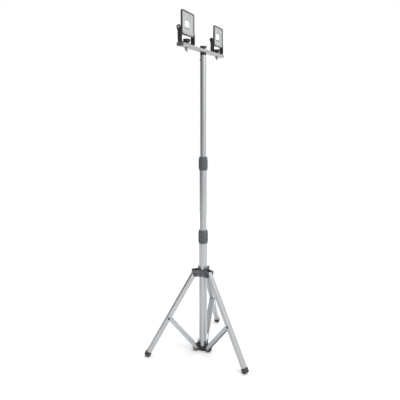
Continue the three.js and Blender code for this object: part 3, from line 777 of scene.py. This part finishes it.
def step(bm, face, width, height, depth):
    """Draws a face in to a new size in its own plane, then pulls it out, or in, by depth."""
    bmesh.ops.inset_individual(bm, faces=[face], thickness=0)
    xs = [v.co.x for v in face.verts]
    ys = [v.co.y for v in face.verts]
    centre = Vector(((max(xs) + min(xs)) / 2, (max(ys) + min(ys)) / 2, 0))
    bmesh.ops.scale(
        bm,
        vec=(width / (max(xs) - min(xs)), height / (max(ys) - min(ys)), 1),
        space=Matrix.Translation(-centre),
        verts=face.verts,
    )
    if depth:
        bmesh.ops.inset_individual(bm, faces=[face], thickness=0)
        bmesh.ops.translate(bm, vec=(0, 0, depth), verts=face.verts)
    return face


def facing(bm, way):
    """The face that looks most nearly along +Z or -Z."""
    return max(bm.faces, key=lambda f: (round(f.normal.z * way, 3), f.calc_area()))


# A lamp's sizes in mm, as width and height or as depth from the tilt axis towards the front
LAMP_FACE = (110, 78)
LENS_SEAT = (104, 72)
LENS_PANE = (103.4, 71.4)
LIGHT_CHAMBER = (78, 46)
RAISED_BACK = (82, 50)
DRIVER_BOX = (70, 26)
DRIVER_MIDDLE = -4  # below the tilt axis
RIM_FRONT = 12
RIM_BACK = 6
RAISED_BACK_END = 1
FIN_COUNT = 9
FIN_PITCH = 8.525


def lamp_place(side):
    low, high = span("tilt_screw_outer_" + side)
    axis = (low + high) / 2
    return shift(middle("bracket_" + side).x, axis.y, axis.z) @ FACING


def lamp_housing(side):
    """Cast tray with a raised back, cooling fins, a driver box and the tilt boss."""
    node_name = "lamp_housing_" + side
    place = lamp_place(side)
    tray = moved(rounded_sheet(*LAMP_FACE, 8, 8), shift(0, LAMP_MIDDLE, RIM_BACK))
    front = pull(tray, tray.faces[:], (0, 0, RIM_FRONT - RIM_BACK))[0]
    bmesh.ops.recalc_face_normals(tray, faces=tray.faces)
    seat = step(tray, front, *LENS_SEAT, -4.2)
    step(tray, seat, *LIGHT_CHAMBER, -4.8)
    step(tray, facing(tray, -1), *RAISED_BACK, RAISED_BACK_END - RIM_BACK)
    driver = moved(rounded_block(*DRIVER_BOX, 3, -8, 2.5), shift(0, DRIVER_MIDDLE, 0))
    foot = moved(rounded_block(DRIVER_BOX[0], 10, 3, -2, RIM_BACK + 0.5), shift(0, -12, 0))
    boss = turned([(0, -56.7), (7, -56.7), (7, 56.7), (0, 56.7)], 48)
    boss = moved(boss, Matrix.Rotation(math.pi / 2, 4, "Y"))
    fins = []
    for i in range(FIN_COUNT):
        x = (i - (FIN_COUNT - 1) / 2) * FIN_PITCH
        fin = slab(
            [
                (x - 0.9, RAISED_BACK_END + 1),
                (x + 0.9, RAISED_BACK_END + 1),
                (x + 0.65, -1.5),
                (x - 0.65, -1.5),
            ],
            28,
            at=26,
        )
        fins.append(fin)
    finished(
        "cast_housing_" + side,
        together(tray, driver, foot, boss, *fins),
        CASTING,
        "lamp_" + side,
        [node_name],
        place,
        edge=0.5,
    )


def driver_cover(side):
    """The back plate over the driver, with a screw in each corner."""
    place = lamp_place(side)
    plate = moved(rounded_block(*DRIVER_BOX, 3, -10.5, -8.3), shift(0, DRIVER_MIDDLE, 0))
    heads = []
    for x in (-30, 30):
        for y in (-12.5, 4.5):
            head = turned([(0, -10), (2.1, -10), (2.1, -11), (1.2, -11.3), (1, -10.9), (0, -10.9)], 24)
            heads.append(moved(head, shift(x, y, 0.6)))
    finished(
        "driver_back_plate_" + side,
        together(plate, *heads),
        CASTING,
        "lamp_" + side,
        ["driver_cover_" + side],
        place,
        edge=0.6,
    )


def cable_gland(side):
    """The empty cable entry: a flange, a dome nut and its bore."""
    node_name = "cable_gland_" + side
    place = lamp_place(side)
    low, high = span(node_name, place)
    seat = -10.8
    line = [
        (3.2, high.z),
        (6, high.z),
        (6, seat),
        (8, seat),
        (8, seat - 3.6),
        (7.6, seat - 4),
        (6.8, seat - 4),
        (6.6, seat - 7.4),
        (5.6, low.z + 0.7),
        (4.7, low.z),
        (3.2, low.z),
    ]
    finished(
        "cable_entry_" + side,
        moved(turned(line, 48, closed=True), shift(0, DRIVER_MIDDLE, 0)),
        BLACK_PLASTIC,
        "lamp_" + side,
        [node_name],
        place,
        edge=0.25,
    )


def led_board(side):
    """The light source: a board with a lit chip field on it."""
    place = lamp_place(side)
    board = rounded_block(44, 37, 2, 3.3, 4.9)
    chip = rounded_block(30, 23, 1, 4.4, 5.6)
    finished(
        "led_panel_" + side,
        moved(together(board, chip), shift(0, LAMP_MIDDLE, 0)),
        PHOSPHOR,
        "lamp_" + side,
        ["led_board_" + side],
        place,
        edge=0.2,
    )


def reflector(side):
    """A thin pressed dish: a flat edge, a small step and a shallow slope down to the light source."""
    place = lamp_place(side)
    bm = moved(rounded_sheet(*LENS_PANE, 6, 8), shift(0, LAMP_MIDDLE, 8.9))
    dish = step(bm, bm.faces[:][0], 98, 66, -0.4)
    step(bm, dish, 76, 44, 0)
    step(bm, dish, 33, 26, 0)
    bmesh.ops.translate(bm, vec=(0, 0, -2.6), verts=dish.verts)
    bmesh.ops.delete(bm, geom=[dish], context="FACES_ONLY")
    bmesh.ops.recalc_face_normals(bm, faces=bm.faces)
    up = sum(f.normal.z * f.calc_area() for f in bm.faces) > 0
    bmesh.ops.solidify(bm, geom=bm.faces[:], thickness=0.5 if up else -0.5)
    bmesh.ops.recalc_face_normals(bm, faces=bm.faces)
    finished(
        "reflector_dish_" + side,
        bm,
        REFLECTOR,
        "lamp_" + side,
        ["reflector_" + side],
        place,
        edge=0.15,
    )


def lens(side):
    place = lamp_place(side)
    pane = moved(rounded_block(*LENS_PANE, 6, 9.2, 11.7, 8), shift(0, LAMP_MIDDLE, 0))
    finished(
        "lens_pane_" + side,
        pane,
        GLASS,
        "lamp_" + side,
        ["lens_" + side],
        place,
        edge=0.4,
    )


def tilt_screw(side, which):
    """A pan-head screw through a bracket eye, its head outside the arm."""
    node_name = f"tilt_screw_{which}_{side}"
    axis = middle(node_name)
    centre_x = middle("bracket_" + side).x
    way = 1 if axis.x > centre_x else -1
    place = shift(centre_x, axis.y, axis.z) @ Matrix.Rotation(way * math.pi / 2, 4, "Y")
    low, high = span(node_name, place)
    plated = which == "outer"
    finish = ZINC if plated else BLACK_COAT
    seat = high.z - 2.6
    line = [
        (0, low.z),
        (2.5, low.z),
        (2.5, seat),
        (4, seat),
        (4, seat + 1.3),
        (3.5, seat + 2.1),
        (2.5, high.z),
        (1.5, high.z),
        (1.3, high.z - 1.2),
        (0, high.z - 1.2),
    ]
    finished(
        f"tilt_bolt_{which}_{side}",
        turned(line, 32),
        finish,
        "lamp_" + side,
        [node_name],
        place,
        edge=0.15,
    )


for side in ("left", "right"):
    stud_nut(side)
    lamp_bracket(side)
    hand_knob(
        "bracket_clamp_knob_" + side,
        "bracket_knob_" + side,
        "bracket_knob_" + side,
        5,
        7,
        4,
    )
    stud("bracket_clamp_stud_" + side, "bracket_stud_" + side, "bracket_knob_" + side)
    lamp_housing(side)
    driver_cover(side)
    cable_gland(side)
    led_board(side)
    reflector(side)
    lens(side)
    tilt_screw(side, "outer")
    tilt_screw(side, "inner")

# ---- Hubs -------------------------------------------------------------------------------------

SIDES = (1, 2, 3)


def side_turn(number):
    """The turn about the mast to leg 1, 2 or 3."""
    at = middle(f"middle_pin_{number}")
    return Matrix.Rotation(math.atan2(at.y, at.x), 4, "Z")


def fins(bottom, top):
    """Two tapered fins beside the tube, one each side of a leg."""
    outline = [(18.2, bottom), (23, bottom), (20, top), (18.2, top)]
    return [slab(outline, 3, at=y) for y in (-7.5, 7.5)]


def upper_hub():
    """The sliding hub: a ring, a fork for each leg, fins beside the tube and the lock boss."""
    low, high = span("upper_hub")
    bottom = low.z
    top = high.z - 17
    ring = turned([(18.7, bottom), (24, bottom), (24, top), (18.7, top)], 72, closed=True)
    parts = [ring]
    cheek = [
        (17, bottom),
        (41, bottom),
        (48, bottom + 11.2),
        (48, top),
        (17, top),
    ]
    for number in SIDES:
        turn = side_turn(number)
        for y in (-13.15, 13.15):
            parts.append(moved(slab(cheek, 4.5, [(3, 4), (2, 3)], at=y), turn))
            eye = turned([(0, 0), (6.2, 0), (6.2, 0.5), (0, 0.5)], 40)
            out = Matrix.Rotation(-math.copysign(math.pi / 2, y), 4, "X")
            pin_place = shift(39, math.copysign(14.9, y), 368)
            parts.append(moved(eye, turn @ pin_place @ out))
        parts += [moved(fin, turn) for fin in fins(top - 5, high.z)]
    boss = turned([(3.3, 21), (7, 21), (7, 28.4), (6.4, 29), (3.3, 29)], 40, closed=True)
    parts.append(moved(boss, along(64.12, 0, 364)))
    finished(
        "sliding_hub",
        together(*parts),
        GREY_PLASTIC,
        "hub",
        ["upper_hub"],
        edge=0.7,
        segments=3,
    )


def lower_hub():
    """The fixed hub: a socket for the mast's foot, with a rounded lug for each strut."""
    _, high = span("lower_hub")
    line = [(0, 0), (21.5, 0), (21.5, 20), (17.8, 20), (17.8, 5), (0, 5)]
    parts = [turned(line, 72)]
    lug = [(18, 0), (46, 0), (46, 26), (31, 26), (23.5, 31), (18, 31)]
    for number in SIDES:
        turn = side_turn(number)
        parts.append(moved(slab(lug, 20, [(1, 12.9), (2, 12.9), (4, 2)]), turn))
        parts += [moved(fin, turn) for fin in fins(26, high.z)]
    finished(
        "foot_hub",
        together(*parts),
        BLACK_PLASTIC,
        "mast",
        ["lower_hub"],
        edge=0.8,
        segments=3,
    )


LOCK_AZIMUTH = 64.12


def hub_lock():
    place = along(LOCK_AZIMUTH, 0, middle("lock_knob").z)
    low, high = span("lock_knob", place)
    knob = together(
        lobed_head(9.5, 6, 1.6, low.z, high.z - 0.4),
        turned([(0, high.z - 3), (4.6, high.z - 3), (4.6, high.z - 0.2), (4, high.z), (0, high.z)], 32),
    )
    finished(
        "hub_lock_knob",
        knob,
        BLACK_PLASTIC,
        "lock_knob",
        ["lock_knob"],
        place,
        edge=0.8,
        segments=3,
    )
    low, high = span("lock_screw", place)
    shaft = turned([(0, low.z), (2.4, low.z), (3, low.z + 0.8), (3, high.z), (0, high.z)], 32)
    finished(
        "hub_lock_screw",
        shaft,
        ZINC,
        "lock_knob",
        ["lock_screw"],
        place,
        edge=0.2,
    )


upper_hub()
lower_hub()
hub_lock()

# ---- Legs, struts, feet and rivets ------------------------------------------------------------


def leaning(start, end, number):
    """The place at start whose Z points at end, and whose Y is across leg 1, 2 or 3."""
    z = (end - start).normalized()
    y = side_turn(number).to_3x3() @ Vector((0, 1, 0))
    x = y.cross(z)
    turn = Matrix((x, y, z)).transposed().to_4x4()
    return Matrix.Translation(start) @ turn


def leg(number):
    place = leaning(middle(f"middle_pin_{number}"), middle(f"upper_pin_{number}"), number)
    low, high = span(f"leg_{number}", place)
    finished(
        f"leg_tube_{number}",
        hollow_bar(20, 20, 2.5, 1.2, low.z, high.z),
        ALUMINIUM,
        f"leg_{number}",
        [f"leg_{number}"],
        place,
        edge=0.3,
    )
    low, high = span(f"foot_{number}", place)
    size = high.y - low.y
    boot = rounded_block(size, size, 4.5, low.z, high.z, 8)
    toe = [e for e in boot.edges if all(v.co.z < low.z + 0.01 for v in e.verts)]
    bmesh.ops.bevel(
        boot,
        geom=toe,
        offset=4,
        segments=6,
        profile=0.5,
        affect="EDGES",
        material=-1,
    )
    step(boot, facing(boot, 1), 20.6, 20.6, -2)
    finished(
        f"rubber_foot_{number}",
        boot,
        RUBBER,
        f"leg_{number}",
        [f"foot_{number}"],
        place,
        edge=0.7,
        segments=3,
    )


def strut(number):
    """A pressed channel, its web on the upper side, with rounded ears past the web at each end."""
    start = middle(f"lower_pin_{number}")
    end = middle(f"middle_pin_{number}")
    place = leaning(start, end, number)
    length = (end - start).length
    outer, wall, ear, lip = 11.6, 1.2, 7, 5
    notch_low, notch_high = 36, 9
    side = [
        (-ear, -ear),
        (ear, -ear),
        (ear, 2),
        (lip, ear + 4),
        (lip, length - ear - 4),
        (ear, length - 2),
        (ear, length + ear),
        (-ear, length + ear),
        (-outer, length - notch_high),
        (-outer, notch_low),
        (-ear, ear),
    ]
    rounds = [(0, 6.9), (1, 6.9), (6, 6.9), (7, 6.9)]
    flanges = [slab(side, wall, rounds, at=y) for y in (wall / 2 - outer, outer - wall / 2)]
    web_corners = [
        (-outer, notch_low),
        (-outer + wall, notch_low),
        (-outer + wall, length - notch_high),
        (-outer, length - notch_high),
    ]
    web = slab(web_corners, 2 * outer - 0.02)
    finished(
        f"strut_channel_{number}",
        together(web, *flanges),
        ZINC,
        f"strut_{number}",
        [f"strut_{number}"],
        place,
        edge=0.35,
    )


def rivet(node_name, body):
    """A rivet across the leg with a low domed head at each end."""
    number = node_name[-1]
    place = (
        Matrix.Translation(middle(node_name))
        @ side_turn(number)
        @ Matrix.Rotation(math.pi / 2, 4, "X")
    )
    high = span(node_name, place)[1].z
    seat = high - 2
    line = [
        (0, -high),
        (1.8, 0.15 - high),
        (3.4, 0.75 - high),
        (4.6, 1.5 - high),
        (4.6, -seat),
        (2.5, -seat),
        (2.5, seat),
        (4.6, seat),
        (4.6, high - 1.5),
        (3.4, high - 0.75),
        (1.8, high - 0.15),
        (0, high),
    ]
    finished(
        node_name.replace("pin", "rivet"),
        turned(line, 40),
        BLACK_COAT,
        body,
        [node_name],
        place,
    )


for number in SIDES:
    leg(number)
    strut(number)
    rivet(f"upper_pin_{number}", "hub")
    rivet(f"middle_pin_{number}", f"strut_{number}")
    rivet(f"lower_pin_{number}", "mast")

# ---- Floor, light and camera ------------------------------------------------------------------

VIEW_AZIMUTH = 20.45  # of the camera's level heading, from +X towards +Y
VIEW_DOWN = 13.11
VIEW_DISTANCE = 1.711  # from the mast's axis
VIEW_HEIGHT = 1.085
FOCAL_SHARE = 1.061  # focal length over the frame's width
AXIS_RIGHT = 0.0079  # of the mast right of the frame's middle, as a share of its width


def view_turn(down, azimuth):
    return Matrix.Rotation(math.radians(azimuth) - math.pi / 2, 4, "Z") @ Matrix.Rotation(
        math.pi / 2 - math.radians(down), 4, "X"
    )


def camera():
    data = bpy.data.cameras.new("camera")
    made = bpy.data.objects.new("camera", data)
    bpy.context.scene.collection.objects.link(made)
    heading = math.radians(VIEW_AZIMUTH)
    at = Vector((-math.cos(heading), -math.sin(heading), 0)) * VIEW_DISTANCE
    at.z = VIEW_HEIGHT
    made.matrix_world = Matrix.Translation(at) @ view_turn(VIEW_DOWN, VIEW_AZIMUTH)
    data.lens = FOCAL_SHARE * data.sensor_width
    data.shift_x = -AXIS_RIGHT
    data.clip_start = 0.05
    bpy.context.scene.camera = made


def softbox(name, azimuth, distance, height, width, tall, power):
    """A soft area lamp at an azimuth from the camera's heading, aimed at the middle of the mast."""
    data = bpy.data.lights.new(name, "AREA")
    data.shape = "RECTANGLE"
    data.size = width
    data.size_y = tall
    data.energy = power
    made = bpy.data.objects.new(name, data)
    bpy.context.scene.collection.objects.link(made)
    turn = math.radians(VIEW_AZIMUTH + azimuth)
    at = Vector((math.cos(turn) * distance, math.sin(turn) * distance, height))
    aim = Vector((0, 0, 0.7)) - at
    made.matrix_world = Matrix.Translation(at) @ aim.to_track_quat("-Z", "Y").to_matrix().to_4x4()


def floor():
    bm = bmesh.new()
    bmesh.ops.create_grid(bm, x_segments=1, y_segments=1, size=2.2)
    mesh = bpy.data.meshes.new("floor")
    bm.to_mesh(mesh)
    bm.free()
    made, tree, shader = new_finish("pale_studio_floor", Roughness=0.8)
    clouds = object_place(tree, (700, 700, 700))
    tree.links.new(mottle(tree, clouds, "#f4f4f4", "#f7f7f7"), shader.inputs["Base Color"])
    mesh.materials.append(made)
    piece = bpy.data.objects.new("floor", mesh)
    bpy.context.scene.collection.objects.link(piece)
    piece.location.z = cad_box[0].z


DIM_SIDE = 0.25  # brightness of the room on its dim side
CEILING = 0.85  # how much brighter it is overhead


def ramp(tree, value, low, high, start, end):
    """A smooth change from start to end as the value goes from low to high."""
    made = node(
        tree,
        "MapRange",
        {"Value": value, "From Min": low, "From Max": high, "To Min": start, "To Max": end},
        interpolation_type="SMOOTHSTEP",
    )
    return made.outputs["Result"]


def daylight():
    """A white room: bright above, even in front and to one side, dimmer to the other side."""
    world = bpy.data.worlds.new("studio")
    world.use_nodes = True
    tree = world.node_tree
    way = node(tree, "TexCoord", {}).outputs["Generated"]
    turn = math.radians(VIEW_AZIMUTH)
    right = (math.sin(turn), -math.cos(turn), 0)
    across = node(tree, "VectorMath", {0: way, 1: right}, operation="DOT_PRODUCT").outputs["Value"]
    up = node(tree, "VectorMath", {0: way, 1: (0, 0, 1)}, operation="DOT_PRODUCT").outputs["Value"]
    side = ramp(tree, across, -0.9, 0.3, DIM_SIDE, 1)
    above = ramp(tree, up, 0.35, 0.85, 0, CEILING)
    lit = node(tree, "Math", {0: side, 1: above}, operation="ADD").outputs[0]
    seen = node(tree, "LightPath", {}).outputs["Is Camera Ray"]
    strength = node(tree, "Math", {0: lit, 1: seen}, operation="MAXIMUM").outputs[0]
    back = tree.nodes["Background"]
    back.inputs["Color"].default_value = linear("#ffffff")
    tree.links.new(strength, back.inputs["Strength"])
    bpy.context.scene.world = world


camera()
floor()
daylight()
softbox("key_softbox", -125, 2.6, 2.2, 1.6, 2.2, 22)
bpy.context.scene.view_settings.view_transform = "Standard"
